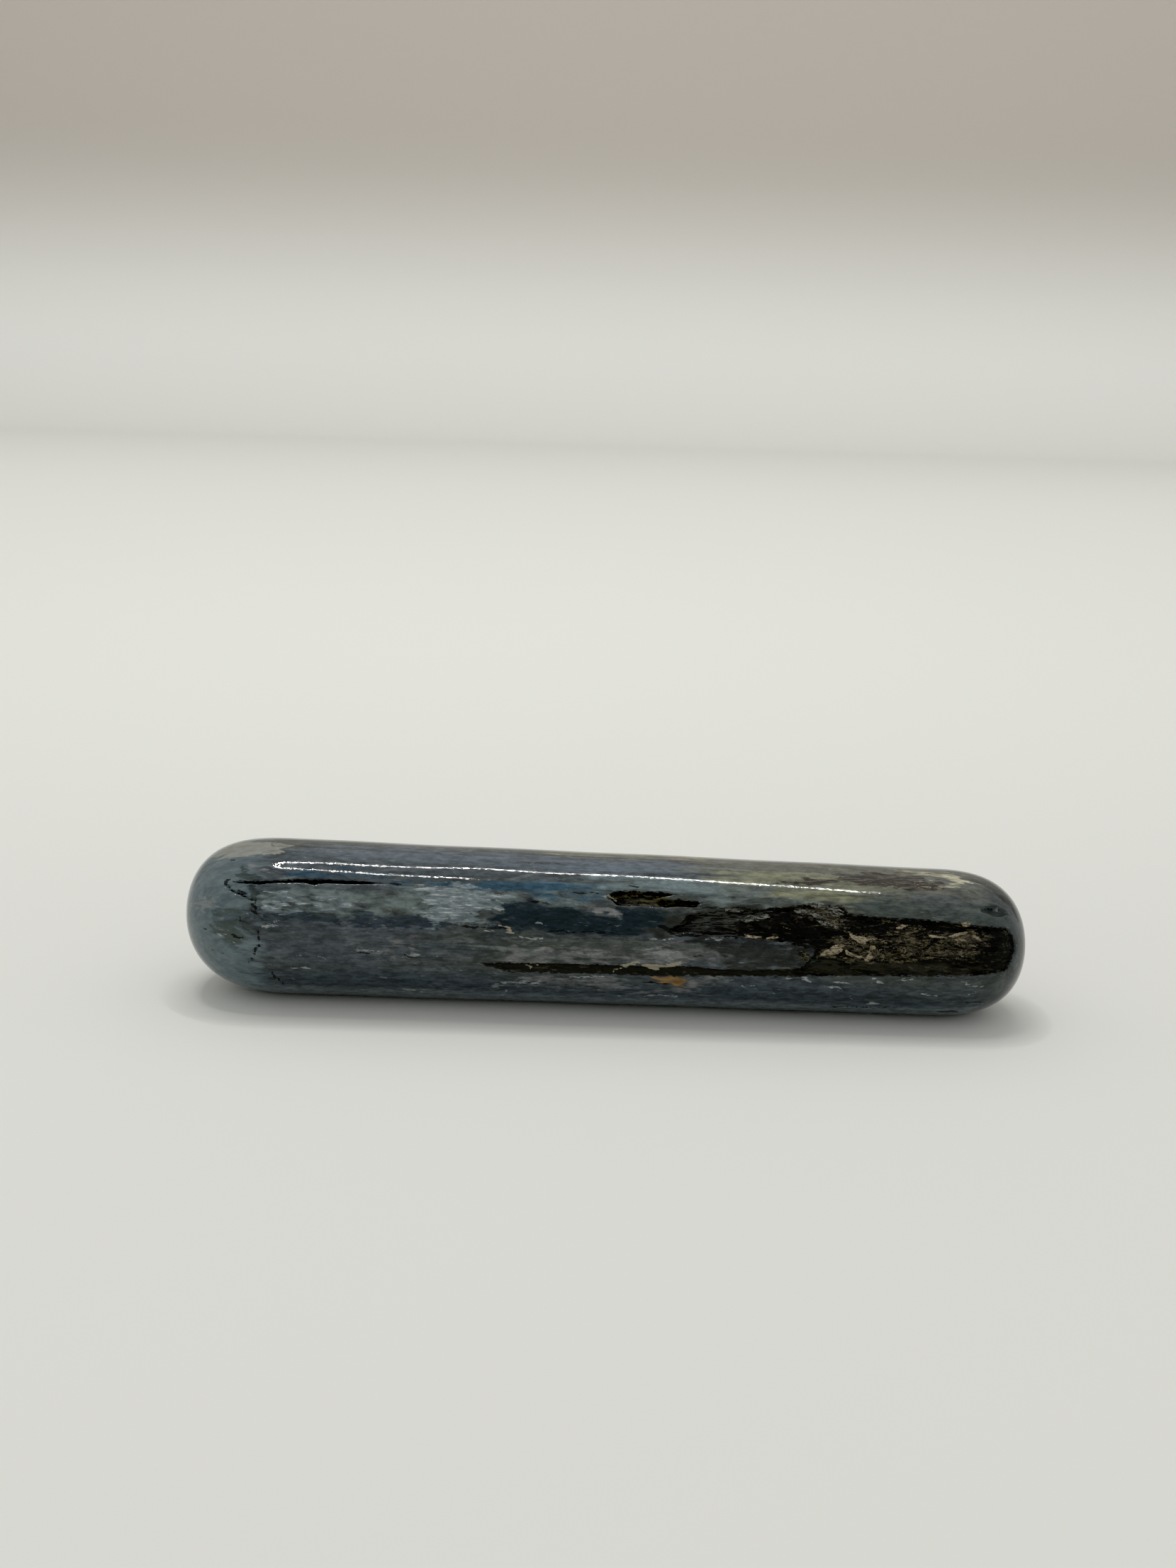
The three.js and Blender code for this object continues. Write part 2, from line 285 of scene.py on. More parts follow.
def flakes(along, turn, size, lean, seed):
    # Leaves of mica: each place belongs to the nearest point of a jittered grid. Gives every leaf a number
    # from 0 to 1, its tilt from -1 to 1, and how far the place is from the leaf's rim
    bent = along + 1.3 * ripple(along, turn, (3.0, 2.0), seed + 5)
    arc = arcOf(turn) + 0.7 * ripple(along, turn, (2.4, 1.6), seed + 9)
    x = (bent + lean * arc) / size[0]
    y = (arc - 0.35 * lean * bent) / size[1]
    nearest = np.full(len(x), 9.0)
    second = np.full(len(x), 9.0)
    leaf = np.zeros(len(x))
    tilt = np.zeros(len(x))
    for column in (np.floor(x) + i for i in (-1, 0, 1)):
        for row in (np.floor(y) + i for i in (-1, 0, 1)):
            aside = x - column - randomAt(column, row, seed)
            above = y - row - randomAt(column, row, seed + 1)
            distance = np.hypot(aside, above)
            closer = distance < nearest
            second = np.where(closer, nearest, np.minimum(second, distance))
            nearest = np.where(closer, distance, nearest)
            leaf = np.where(closer, randomAt(column, row, seed + 2), leaf)
            slope = 2 * above * (randomAt(column, row, seed + 3) - 0.5) + aside * (leaf - 0.5)
            tilt = np.where(closer, slope, tilt)
    return leaf, np.clip(tilt, -1, 1), second - nearest


def makeRod():
    rod = bmesh.new()
    stations = rodStations()
    radii = [float(skinRadius(np.array(s))) for s in stations]
    profile = [rod.verts.new((s, 0, -r)) for s, r in zip(stations, radii)]
    swept = profile + [rod.edges.new(pair) for pair in zip(profile, profile[1:])]
    for degrees, steps in wand["sweeps"]:
        turned = bmesh.ops.spin(rod, geom=swept, cent=(0, 0, 0), axis=(1, 0, 0), angle=math.radians(degrees),
                                steps=steps, use_merge=False, use_duplicate=False)
        swept = turned["geom_last"]
    bmesh.ops.remove_doubles(rod, verts=rod.verts, dist=0.002)
    bmesh.ops.recalc_face_normals(rod, faces=rod.faces)
    mesh = bpy.data.meshes.new("kyaniteWand")
    rod.to_mesh(mesh)
    rod.free()
    return mesh


mesh = makeRod()
print("rod spun:", len(mesh.vertices), "vertices")


def placesOf(mesh):
    points = np.empty(len(mesh.vertices) * 3)
    mesh.vertices.foreach_get("co", points)
    x, y, z = points.reshape(-1, 3).T
    return x, np.degrees(np.arctan2(-y, z)), np.hypot(y, z)


def deepest(shapes, along, turn):
    # Inside any of the shapes, each an outline or a width with its line
    depths = []
    for shape in shapes:
        if isinstance(shape[0], float):
            depths.append(insideLine(shape[0], shape[1:], along, turn))
        else:
            depths.append(insideOutline(shape, along, turn))
    return np.max(depths, axis=0)


along, turn, radius = placesOf(mesh)
ragged = rippled("ragged")

micaDepth = deepest([micaBeds["front"], micaBeds["back"]], along, turn)
streakDepth = deepest([streaks["front"], streaks["back"]], along, turn)
hollowDepths = {name: insideOutline(shape, along, turn) for name, (depth, shape) in hollows.items()}
crackDepths = {name: insideLine(width, line, along, turn) for name, (width, depth, line) in cracks.items()}
openDepth = np.max([depths for name, depths in hollowDepths.items() if name != "pit"], axis=0)
crackDepth = np.max(list(crackDepths.values()), axis=0)

leaf, tilt, rim = flakes(along, turn, micaBeds["leaf"], micaBeds["lean"], micaBeds["seed"])
relief = np.clip(1.1 * (leaf - 0.5) + tilt, -1, 1) - 0.5 * (1 - ease(rim, 0, 0.16))
sunk = np.zeros(len(along))
for beds, inwards in ((micaBeds, micaDepth), (streaks, streakDepth)):
    floor = beds["depth"] + beds["flake"] * relief
    sunk = np.maximum(sunk, ease(inwards + ragged, 0, beds["rim"]) * floor)
for name, (depth, shape) in hollows.items():
    wall = hollowWalls.get(name, hollowWalls["others"])
    cut = ease(hollowDepths[name] + rimTearing * ragged, wallsBegin["hollow"], wall)
    sunk = np.maximum(sunk, depth * cut * (1 + floorTearing * ragged))
for name, (width, depth, line) in cracks.items():
    cut = ease(crackDepths[name] + rimTearing * ragged, wallsBegin["crack"], width / 2)
    sunk = np.maximum(sunk, depth * cut)

plateDepths = {name: deepest(shapes, along, turn) for name, shapes in plates.items()}
proud = np.max(list(plateDepths.values()), axis=0)
sunk -= plateRise * ease(proud, -0.06, 0.1) * ease(sunk, 0.1, 0.25)

height, wavesAlong, wavesRound = wand["waviness"]
wave = np.sin(along / wand["length"] * 2 * math.pi * wavesAlong)
wave *= height * np.cos(np.radians(turn) * wavesRound + along / wand["middleRadius"])
skin = radius + (wave - sunk) * np.clip(radius / wand["middleRadius"], 0, 1)
y = -skin * np.sin(np.radians(turn))
z = axisHeight(along) + skin * np.cos(np.radians(turn))
z = np.maximum(z, 0)
points = np.stack([along, y, z], axis=1) * mm
mesh.vertices.foreach_set("co", points.ravel())
mesh.update()
print("skin carved:", round(float(sunk.max()), 2), "mm at the deepest")


# Markings that are only colour

regions = {
    "navy": [
        [(-40.4, 69), (-36, 66), (-33, 66.8), (-31, 69.4), (-28, 66), (-24, 67.6), (-21, 66), (-20, 71.4),
         (-18, 69), (-16.4, 71.6), (-14, 69.6), (-12.4, 66), (-12, 57), (-14.6, 57), (-14, 55), (-10, 54),
         (-8.6, 49.6), (-7.6, 52), (-7, 56), (-5, 55.6), (-3, 57.6), (-1, 61.6), (0.2, 64), (1.4, 60),
         (1.6, 54), (5, 53.6), (7, 56), (6, 62), (6.4, 68), (5, 73), (4, 75), (0, 74.6), (-4, 75),
         (-10, 73.4), (-12.4, 71), (-16, 72), (-20, 73), (-30, 74.4), (-38, 73.4)],
        [(-30, -20), (-12, -24), (4, -22), (10, -18), (-4, -15), (-20, -15)],
        [(-4, -84), (14, -90), (30, -94), (40, -92), (24, -86), (8, -80)],
    ],
    "deepNavy": [
        [(-13, 62), (-10, 57), (-7, 58), (-3, 60), (0, 66), (2, 61), (4, 64), (3, 72), (-4, 73.6),
         (-12, 72)],
        [(2, 55), (8, 56), (9.6, 60), (9, 66), (7, 71), (2, 71)],
    ],
    "blue": [
        [(-9, 30), (-2, 29.6), (3, 31), (2, 41), (-2, 45), (-8, 44)],
        [(-20, -60), (-2, -66), (18, -64), (30, -58), (12, -55), (-6, -54)],
        [(20, -126), (34, -130), (44, -126), (34, -120)],
    ],
    "denim": [
        [(-38.6, 36), (-28, 37), (-18, 38), (-8, 37), (0, 39), (-1, 44), (-6, 47), (-12, 46.6), (-18, 45.6),
         (-24, 43.4), (-38, 42.4)],
        [(-36, -58), (-22, -63), (-4, -60), (-18, -56)],
    ],
    "fibres": [
        [(-21.2, 50), (-20.8, 45), (-16, 42.4), (-13, 45.2), (-11.8, 50), (-12.2, 57), (-14.8, 58),
         (-14, 62), (-14.6, 66), (-13.6, 69), (-16.6, 71), (-18, 68.4), (-20, 70.4), (-20.8, 64)],
        [(-39.8, 66.8), (-39.6, 61), (-38.4, 57), (-37, 57.4), (-35.6, 61), (-36, 65), (-38, 67)],
        [(-35, 60), (-33, 55.6), (-30.6, 57), (-30, 61), (-32.4, 62)],
        [(34, -40), (42, -44), (46, -36), (40, -30)],
    ],
    "pale": [
        [(-3.2, 57.4), (-2.8, 54.8), (0, 55.8), (0.9, 58.4), (1.6, 61), (-0.2, 63), (-1.2, 60.8)],
        [(-10, 85), (-8, 82.8), (-6, 84.2), (-3.4, 85.4), (-2.2, 88.4), (0.6, 90), (-4, 90.6), (-8, 87)],
        [(3.4, 86.6), (6, 83.8), (7.6, 81.2), (9.6, 83), (10.2, 86), (9, 88), (11.2, 90), (11.6, 92),
         (10, 94.6), (7, 93.6), (6.6, 89)],
        [(15, 94), (16.4, 91.6), (18, 91), (19.4, 93), (18.8, 94.6), (17.2, 96), (16, 95.4)],
        [(16, 81.4), (17.8, 81.4), (18.8, 83), (17.4, 84), (16, 83)],
        [(-13, 121), (-11.6, 117.4), (-8, 117), (-6.8, 119), (-10, 120), (-12.2, 122.6)],
        [(-4.2, 110.8), (-1, 107.6), (1.4, 106.8), (0, 109), (-2, 111)],
        [(-49, 66), (-47.4, 58), (-46, 64), (-47, 74), (-48.6, 72)],
        [(-43, 33), (-42, 30.4), (-40.9, 35), (-42, 38)],
        [(-26, -84), (-16, -90), (-6, -88), (-12, -78), (-22, -76)],
        [(-36, -104), (-30, -108), (-24, -102), (-31, -98)],
    ],
    "wedge": [
        [(-47.6, 4), (-45.6, -4), (-40.6, 4), (-38.6, 7.4), (-37.5, 10.6), (-37.9, 14), (-38.8, 16.6),
         (-39.4, 21.4), (-42, 22.6), (-46.6, 22)],
    ],
    "cloud": [
        [(-14, 92), (-12, 85), (-8, 82.4), (-3, 85), (0.6, 89), (4, 84), (10, 80), (14, 78), (21, 79),
         (22, 86), (20, 95), (12, 96), (2, 97.4), (-10, 98.4), (-14, 96.4)],
        [(-27, 103), (-25, 96), (-24.2, 86), (-22.8, 85), (-22.2, 92), (-23.8, 98)],
        [(9.6, 106), (13.8, 105), (14, 109), (12.6, 112), (12.2, 120), (11.4, 127), (9, 123), (5, 128),
         (4, 124), (9, 116)],
        [(-9, 111), (0, 108), (6, 112), (2, 122), (-10, 122)],
        [(-40, -40), (-20, -44), (-4, -40), (-16, -34), (-34, -32)],
        [(14, -108), (28, -116), (40, -108), (30, -100)],
    ],
    "mist": [
        [(-40, 50), (-30, 49), (-20, 47), (-6, 46), (0, 50), (-4, 56), (-13, 57), (-20, 65), (-30, 66),
         (-40, 63)],
        [(11, 36), (24, 34), (24, 43), (19, 49), (12, 50)],
        [(-4, 29), (6, 28), (20, 31), (14, 39), (6, 38), (0, 36)],
        [(-40, -66), (-24, -70), (-20, -60), (-36, -56)], [(0, -40), (20, -44), (30, -38), (12, -34)],
    ],
    # The top band, painted lighter: partly grey-blue haze in the stone, partly painted light and reflection
    # from the room above
    "hazeAndTopSheen": [
        [(-37, 2), (-10, 0), (18, -2), (18, 16), (8, 26), (-20, 26), (-37, 26)],
    ],
    "pool": [
        [(-3, 30), (4, 28.6), (14, 30), (20, 33), (14, 38), (6, 38.6), (-1, 37)],
        [(-30, -36), (-14, -38), (-6, -34), (-18, -31)],
    ],
    "teal": [
        [(30, 42), (34, 40.6), (44, 37), (48, 42), (48.6, 54), (44, 55), (38, 53), (30, 52), (29, 47)],
        [(-46, 70), (-43, 66), (-41, 78), (-42, 98), (-45, 92)],
        [(-30, -140), (-14, -146), (4, -142), (-12, -138)],
    ],
    "dusk": [
        [(10, 73.4), (17, 73.6), (22, 76.8), (24.8, 83), (23.8, 92), (22.8, 100), (17, 97), (13, 90),
         (12, 82)],
    ],
    "grit": [
        [(5, 75), (6, 65), (8.6, 56), (12, 51), (19, 50), (19.6, 56), (17, 63), (14, 70), (12, 75)],
    ],
    "warm": [
        [(8, -6), (20, -12), (42, -10), (44.6, 10), (43, 32), (36, 36), (24, 35), (14, 30), (10, 14)],
        [(-34, -104), (-12, -112), (10, -104), (-8, -96)],
    ],
    "olive": [
        [(12, 26), (13, 17), (18, 13), (24, 11), (28.4, 14), (28, 19), (23, 22.6), (19, 26)],
        [(20, 34), (27, 32), (34.6, 32.6), (33, 38), (29.2, 41), (28.8, 46), (27.2, 46), (25, 42.6),
         (21, 42)],
        [(-8, -2), (2, -6), (12, -3), (4, 2)],
    ],
    "swirl": [
        [(20, 27.4), (24, 22), (28, 18.6), (26, 13.4), (30, 13.6), (31.6, 8), (34.6, 6), (36.4, 10),
         (39, 17), (40.4, 25.6), (36, 27.6), (30, 26.8), (27, 25.4), (22, 27.6)],
        [(-18, -150), (-6, -156), (4, -150), (-4, -144)],
    ],
    "pearl": [
        [(34.6, 0), (38, -1), (40.6, 3.6), (42.2, 8), (43.2, 14), (42.4, 23), (41, 21), (40, 14), (38.4, 8),
         (36, 4)],
    ],
    "plates": [
        [(25, 86), (26.6, 77), (28.4, 66), (31, 69), (34, 66), (35, 58), (37, 60), (40, 66), (42.6, 59),
         (45, 63), (45.4, 72), (43.6, 83), (40, 82), (37, 87), (34, 89), (29, 87)],
        [(22, 50), (24, 44), (28, 46), (28.6, 52), (27.6, 63), (24, 57)],
        [(-22, -114), (-14, -108), (-6, -112), (-8, -124), (-18, -130)],
    ],
    "torn": [
        [(7, 71), (9, 62), (11, 55), (14, 50), (18, 50), (19, 53), (18, 57), (16.6, 61), (16, 64), (13, 69),
         (10, 73)],
        [(20.6, 77), (24.4, 76), (25, 86), (23.6, 94), (21, 93), (21, 86)],
        [(-8, -122), (4, -124), (10, -130), (0, -136)],
    ],
    "brown": [
        [(24, 90), (30, 88), (36, 90), (44, 88), (47, 91), (46, 95.6), (36, 98), (26, 100), (22, 101)],
    ],
}

strokes = {     # each a width and its line
    "white": [
        [0.2, (-29.4, 94.4), (-28, 93.2), (-26.2, 94.4)], [0.2, (-23.8, 94.6), (-22.8, 95.4), (-21.2, 96.8)],
        [0.16, (-36.4, 100.6), (-35.4, 99.8)], [0.16, (-33.2, 100.4), (-32.1, 103)],
        [0.2, (-37, 111.8), (-35.4, 111), (-34.2, 111.2)], [0.16, (-37, 113), (-36.8, 117.4)],
        [0.22, (-36.9, 120), (-36.7, 129)], [0.34, (-40.2, 79.4), (-39.2, 78.2), (-38.1, 78.8)],
        [0.2, (-39.6, 76), (-37.6, 75.2)], [0.2, (-39.5, 107.4), (-38.7, 108.8)],
        [0.18, (-43.6, 120), (-43.2, 123)], [0.4, (-23.7, 131), (-22.6, 132.8)],
        [0.4, (-22, 134), (-21, 135.8)], [0.2, (-26.5, 117), (-25.6, 118)],
        [0.16, (-45.8, 88.8), (-44, 87.2)], [0.18, (-48, 98.4), (-47.1, 94.6)],
        [0.2, (-48, 101), (-48, 105)], [0.16, (-41.9, 68.6), (-41.5, 71.8)],
        [0.16, (-45.4, 57), (-45, 60.6)], [0.3, (-13.1, 120.8), (-11.6, 118), (-10.4, 117.4)],
        [0.26, (-10.4, 118.6), (-8.6, 117.8), (-7, 118.4)], [0.2, (-9.8, 115.6), (-6.8, 115)],
        [0.24, (-4, 110.6), (-2, 109), (0.6, 107.4)], [0.3, (-11.2, 126), (-11.8, 132), (-12.4, 140)],
        [0.3, (5, 129.4), (6.6, 126.4), (9.2, 127.8)], [0.2, (1.8, 130.4), (3.3, 128.2)],
        [0.2, (4.7, 77.4), (6.4, 76.8), (7.8, 76.2)], [0.2, (11.8, 75), (14.2, 74.6)],
        [0.18, (-8.1, 68.4), (-7.1, 67.6)], [0.18, (-4.4, 72), (-3.9, 74)],
        [0.16, (-14.6, 74.8), (-12.8, 75.4)], [0.22, (-10.2, 78.6), (-8.4, 79), (-6.8, 80.8)],
        [0.24, (21.3, 103.6), (22, 104.4), (22.6, 104)], [0.3, (23.2, 102), (23.9, 104), (24.7, 107)],
        [0.28, (27.1, 105), (28, 105.8), (29, 106.2)], [0.34, (31.2, 100.2), (32, 101.8)],
        [0.3, (31.1, 104), (32.2, 104.8), (33.3, 104.4)], [0.2, (34.8, 100.6), (35.5, 101.8), (36.3, 100.4)],
        [0.22, (26.1, 109.2), (27, 110.2), (28.3, 110.8)], [0.3, (37.9, 114.4), (39, 114.6), (39.9, 115.6)],
        [0.26, (41.7, 100.4), (42.4, 103), (43.3, 104)], [0.2, (43.1, 105.8), (44.7, 106)],
        [0.2, (44.3, 107.2), (43.9, 111), (43.1, 113.6)], [0.34, (29.3, 118.4), (29.3, 123.4)],
        [0.7, (31.6, 128), (32.6, 129)], [0.44, (33, 135.6), (33.2, 138)],
        [0.18, (40.8, 97.8), (42.1, 97.2)], [0.18, (16.3, 113.8), (17.1, 112)],
        [0.18, (17.3, 111.8), (18.1, 111)], [0.18, (14.4, 108.4), (15.4, 107.8)],
        [0.2, (20, 118), (20.6, 119.4)], [0.3, (26.4, 6), (28, 8), (29.6, 7), (30, 4)],
        [0.4, (45.6, 39.8), (46.3, 38.2), (46.7, 36.8)], [0.2, (32, 5.4), (34, 6.6)],
    ],
    "cream": [
        [0.34, (1.2, 106), (1.5, 102), (2.2, 99), (3.4, 96.4)], [0.3, (2.6, 98), (3.8, 95), (4.4, 97.6)],
        [0.6, (4.8, 98), (6.2, 97.4), (7.4, 98)], [0.5, (5.6, 99), (6.8, 101)],
        [0.44, (7.2, 98), (8.2, 95), (9.2, 94.4)],
        [0.24, (-12.4, 71.2), (-11.4, 72.8), (-10.9, 75), (-10, 76.8)],
        [0.24, (-8.9, 106.4), (-8.6, 99.6), (-8.1, 99)], [0.16, (-7.8, 101), (-7.2, 99.4)],
        [0.4, (-0.1, 43.6), (0.6, 45.6), (1.5, 48.4)],
        [0.18, (36.6, 24.4), (36.9, 19), (37.8, 17.4), (39.3, 21.6), (40.2, 25.6)],
        [0.18, (36.8, 24.6), (38.4, 25.2), (40, 26)], [0.18, (-44.2, 92), (-43.2, 95)],
    ],
    "dark": [
        [0.2, (-40.8, 5), (-40.4, 9), (-40.6, 12)], [0.4, (-45, 24.6), (-44.2, 27)],
        [0.26, (-25.9, 43.9), (-23.6, 44.2)], [0.2, (-18, 72.4), (-14, 73), (-11, 73.4)],
        [0.18, (-7, 73.6), (-2, 73.4), (2, 73.6)], [0.2, (2, 37), (4.6, 37.2)], [0.18, (-4, 44), (0, 44.6)],
        [0.24, (11, 52.6), (14, 52), (17.4, 51)], [0.4, (-8.6, 52), (-7.5, 54)],
        [0.24, (4.6, 112), (8.6, 112.6)], [0.2, (-10, 17), (-5, 16.4)],
        [0.3, (7.2, 72.6), (10, 72.9), (13.6, 72)], [0.5, (6.4, 68), (7.8, 68.8)],
        [0.24, (-29, 95.2), (-27, 94.8)], [0.2, (-23.6, 96), (-22.2, 97)], [0.8, (40, 138.4), (42.8, 139.6)],
        [0.2, (42.4, 122), (46.4, 128)], [0.16, (-47, 103), (-44.6, 104)], [0.3, (-44, 87), (-42.6, 88.4)],
        [0.7, (-44.8, 45), (-44.7, 50)], [0.6, (-42.9, 54.4), (-42, 56.8)],
        [0.5, (-41.1, 58), (-40.8, 66), (-40.9, 72)], [0.3, (-47.6, 86), (-46.8, 88)],
    ],
    "rust": [
        [(6, 107.4), (7.6, 106.4), (9.4, 106.6), (9.8, 110), (9.3, 114), (8.4, 114.4), (7.8, 112),
         (6.2, 110.4)],
        [(24, -84), (26, -85), (27.4, -82.6), (25.6, -81.6)],
    ],
    "moss": [
        [0.6, (-35.6, 43.8), (-34.5, 45.4), (-33.1, 44.6)], [0.5, (2, 46), (5, 46.6), (8, 48)],
    ],
    # Olive-gold flakes in the notch and beside the slit and swirl, partly painted glints of light on them
    "goldFlakesAndGlints": [
        [0.3, (2.2, 50.6), (3, 49), (3.8, 49)], [0.36, (0.8, 45.4), (2, 44.2), (3.4, 44.8)],
        [0.3, (2.6, 42.4), (4.2, 41.8), (6, 42.6)], [0.4, (3.8, 46.4), (6, 46), (8, 46.8)],
        [0.3, (6.8, 44), (7.8, 42.8)], [0.3, (4.8, 51.2), (7, 50.6), (9.6, 51.2)],
        [0.2, (4, 50), (6.2, 50.8)], [0.24, (6.6, 48.2), (8.2, 47.6), (9.6, 48.4)],
        [0.2, (8.8, 50), (10.6, 49)], [0.2, (1.6, 52.2), (5, 51.8)], [0.16, (-38, 45.2), (-36.2, 44.2)],
        [0.3, (37.2, 21.4), (38.6, 22.8)],
    ],
    "green": [
        [0.7, (-43, 33), (-42.6, 38), (-42.8, 43)], [0.9, (-43.6, 41), (-42, 43.4), (-40.4, 46)],
        [0.7, (-41.8, 48), (-41, 54), (-41.6, 60)], [0.5, (-44.8, 47), (-44.2, 53)],
    ],
}


fleckRanges = ((-44, 44), (-168, -8), (0.6, 2.8), (-2.5, 2.5), (0.16, 0.4))    # start, turn, run, drop, width


def scatteredStrokes(count, seed):
    # Small white flecks over the back and the top, so that no side is bare
    made = []
    for i in range(count):
        start, turn, run, drop, width = (low + (high - low) * float(randomAt(i, column + 1, seed))
                                         for column, (low, high) in enumerate(fleckRanges))
        made.append([width, (start, turn), (start + run / 2, turn + drop), (start + run, turn + drop * 0.6)])
    return made


strokes["white"] += scatteredStrokes(34, 4)
strokes["dark"] += [[0.24, *line[1:]] for line in scatteredStrokes(12, 7)]


leftCapFrom, rightCapFrom = -40.6, 45.0     # where the ends take on their own colours
underShadeFrom = 98.0                       # the turn from which painted shade darkens the front towards the underside


def storeValues(name, values):
    layer = mesh.attributes.new(name, "FLOAT", "POINT")
    layer.data.foreach_set("value", np.clip(values, -6, 6).astype(np.float32))


# Patches are looked up at torn places, so that their rims run out along the stone
tornAlong = along + rippled("tornAlong")
tornTurn = turn + rippled("tornTurn")
for name, shapes in regions.items():
    storeValues(name, deepest(shapes, tornAlong, tornTurn))
bentAlong = along + rippled("bentAlong")
bentTurn = turn + rippled("bentTurn")
for name, shapes in strokes.items():
    storeValues(name, deepest(shapes, bentAlong, bentTurn))
for name, values in plateDepths.items():
    storeValues(name, values)
for name, values in {
    "mica": micaDepth,
    "streak": streakDepth,
    "open": openDepth,
    "crack": crackDepth,
    "pit": insideOutline(hollows["pit"][1], tornAlong, tornTurn),
    "leaf": ease(leaf, 0.25, 0.95) * ease(rim, 0.02, 0.2),
    "leftCap": leftCapFrom - along,
    "rightCap": along - rightCapFrom,
    "underShadeAndBounce": arcOf(turn - underShadeFrom),
}.items():
    storeValues(name, values)
print("markings stored:", len(mesh.attributes))


def gathered(items, field):
    values = np.empty(len(items), int)
    items.foreach_get(field, values)
    return values


mapMargin = 0.002       # left free above and below, as a share of the map


def mapSkin():
    # The skin unrolled: along the stone across the map, and the turn up it, with its seam underneath
    layer = mesh.uv_layers.new(name="OFBake")
    corners = gathered(mesh.loops, "vertex_index")
    starts = gathered(mesh.polygons, "loop_start")
    sizes = gathered(mesh.polygons, "loop_total")
    face = np.repeat(np.arange(len(starts)), sizes)
    u = along[corners] / wand["length"] + 0.5
    v = turn[corners] / 360 + 0.5
    crosses = (np.maximum.reduceat(v, starts) - np.minimum.reduceat(v, starts) > 0.5)[face]
    v = np.where(crosses & (v < 0.5), v + 1, v)
    onAxis = radius[corners] < 1e-6
    total = np.add.reduceat(np.where(onAxis, 0, v), starts)
    count = np.add.reduceat(np.where(onAxis, 0, 1), starts)
    v = np.where(onAxis, (total / count)[face], v)
    v = mapMargin + (1 - 2 * mapMargin) * np.clip(v, 0, 1)
    layer.data.foreach_set("uv", np.stack([u, v], axis=1).astype(np.float32).ravel())


mapSkin()
mesh.polygons.foreach_set("use_smooth", [True] * len(mesh.polygons))

stone = bpy.data.objects.new("kyaniteWand", mesh)
bpy.context.scene.collection.objects.link(stone)
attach(stone, "root")
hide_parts("kyanite_wand")


def paint(code):
    # A colour from its six hex digits, as the linear values that a shader takes
    channels = [int(code[i:i + 2], 16) / 255 for i in (0, 2, 4)]
    linear = [c / 12.92 if c <= 0.04045 else ((c + 0.055) / 1.055) ** 2.4 for c in channels]
    return (*linear, 1)


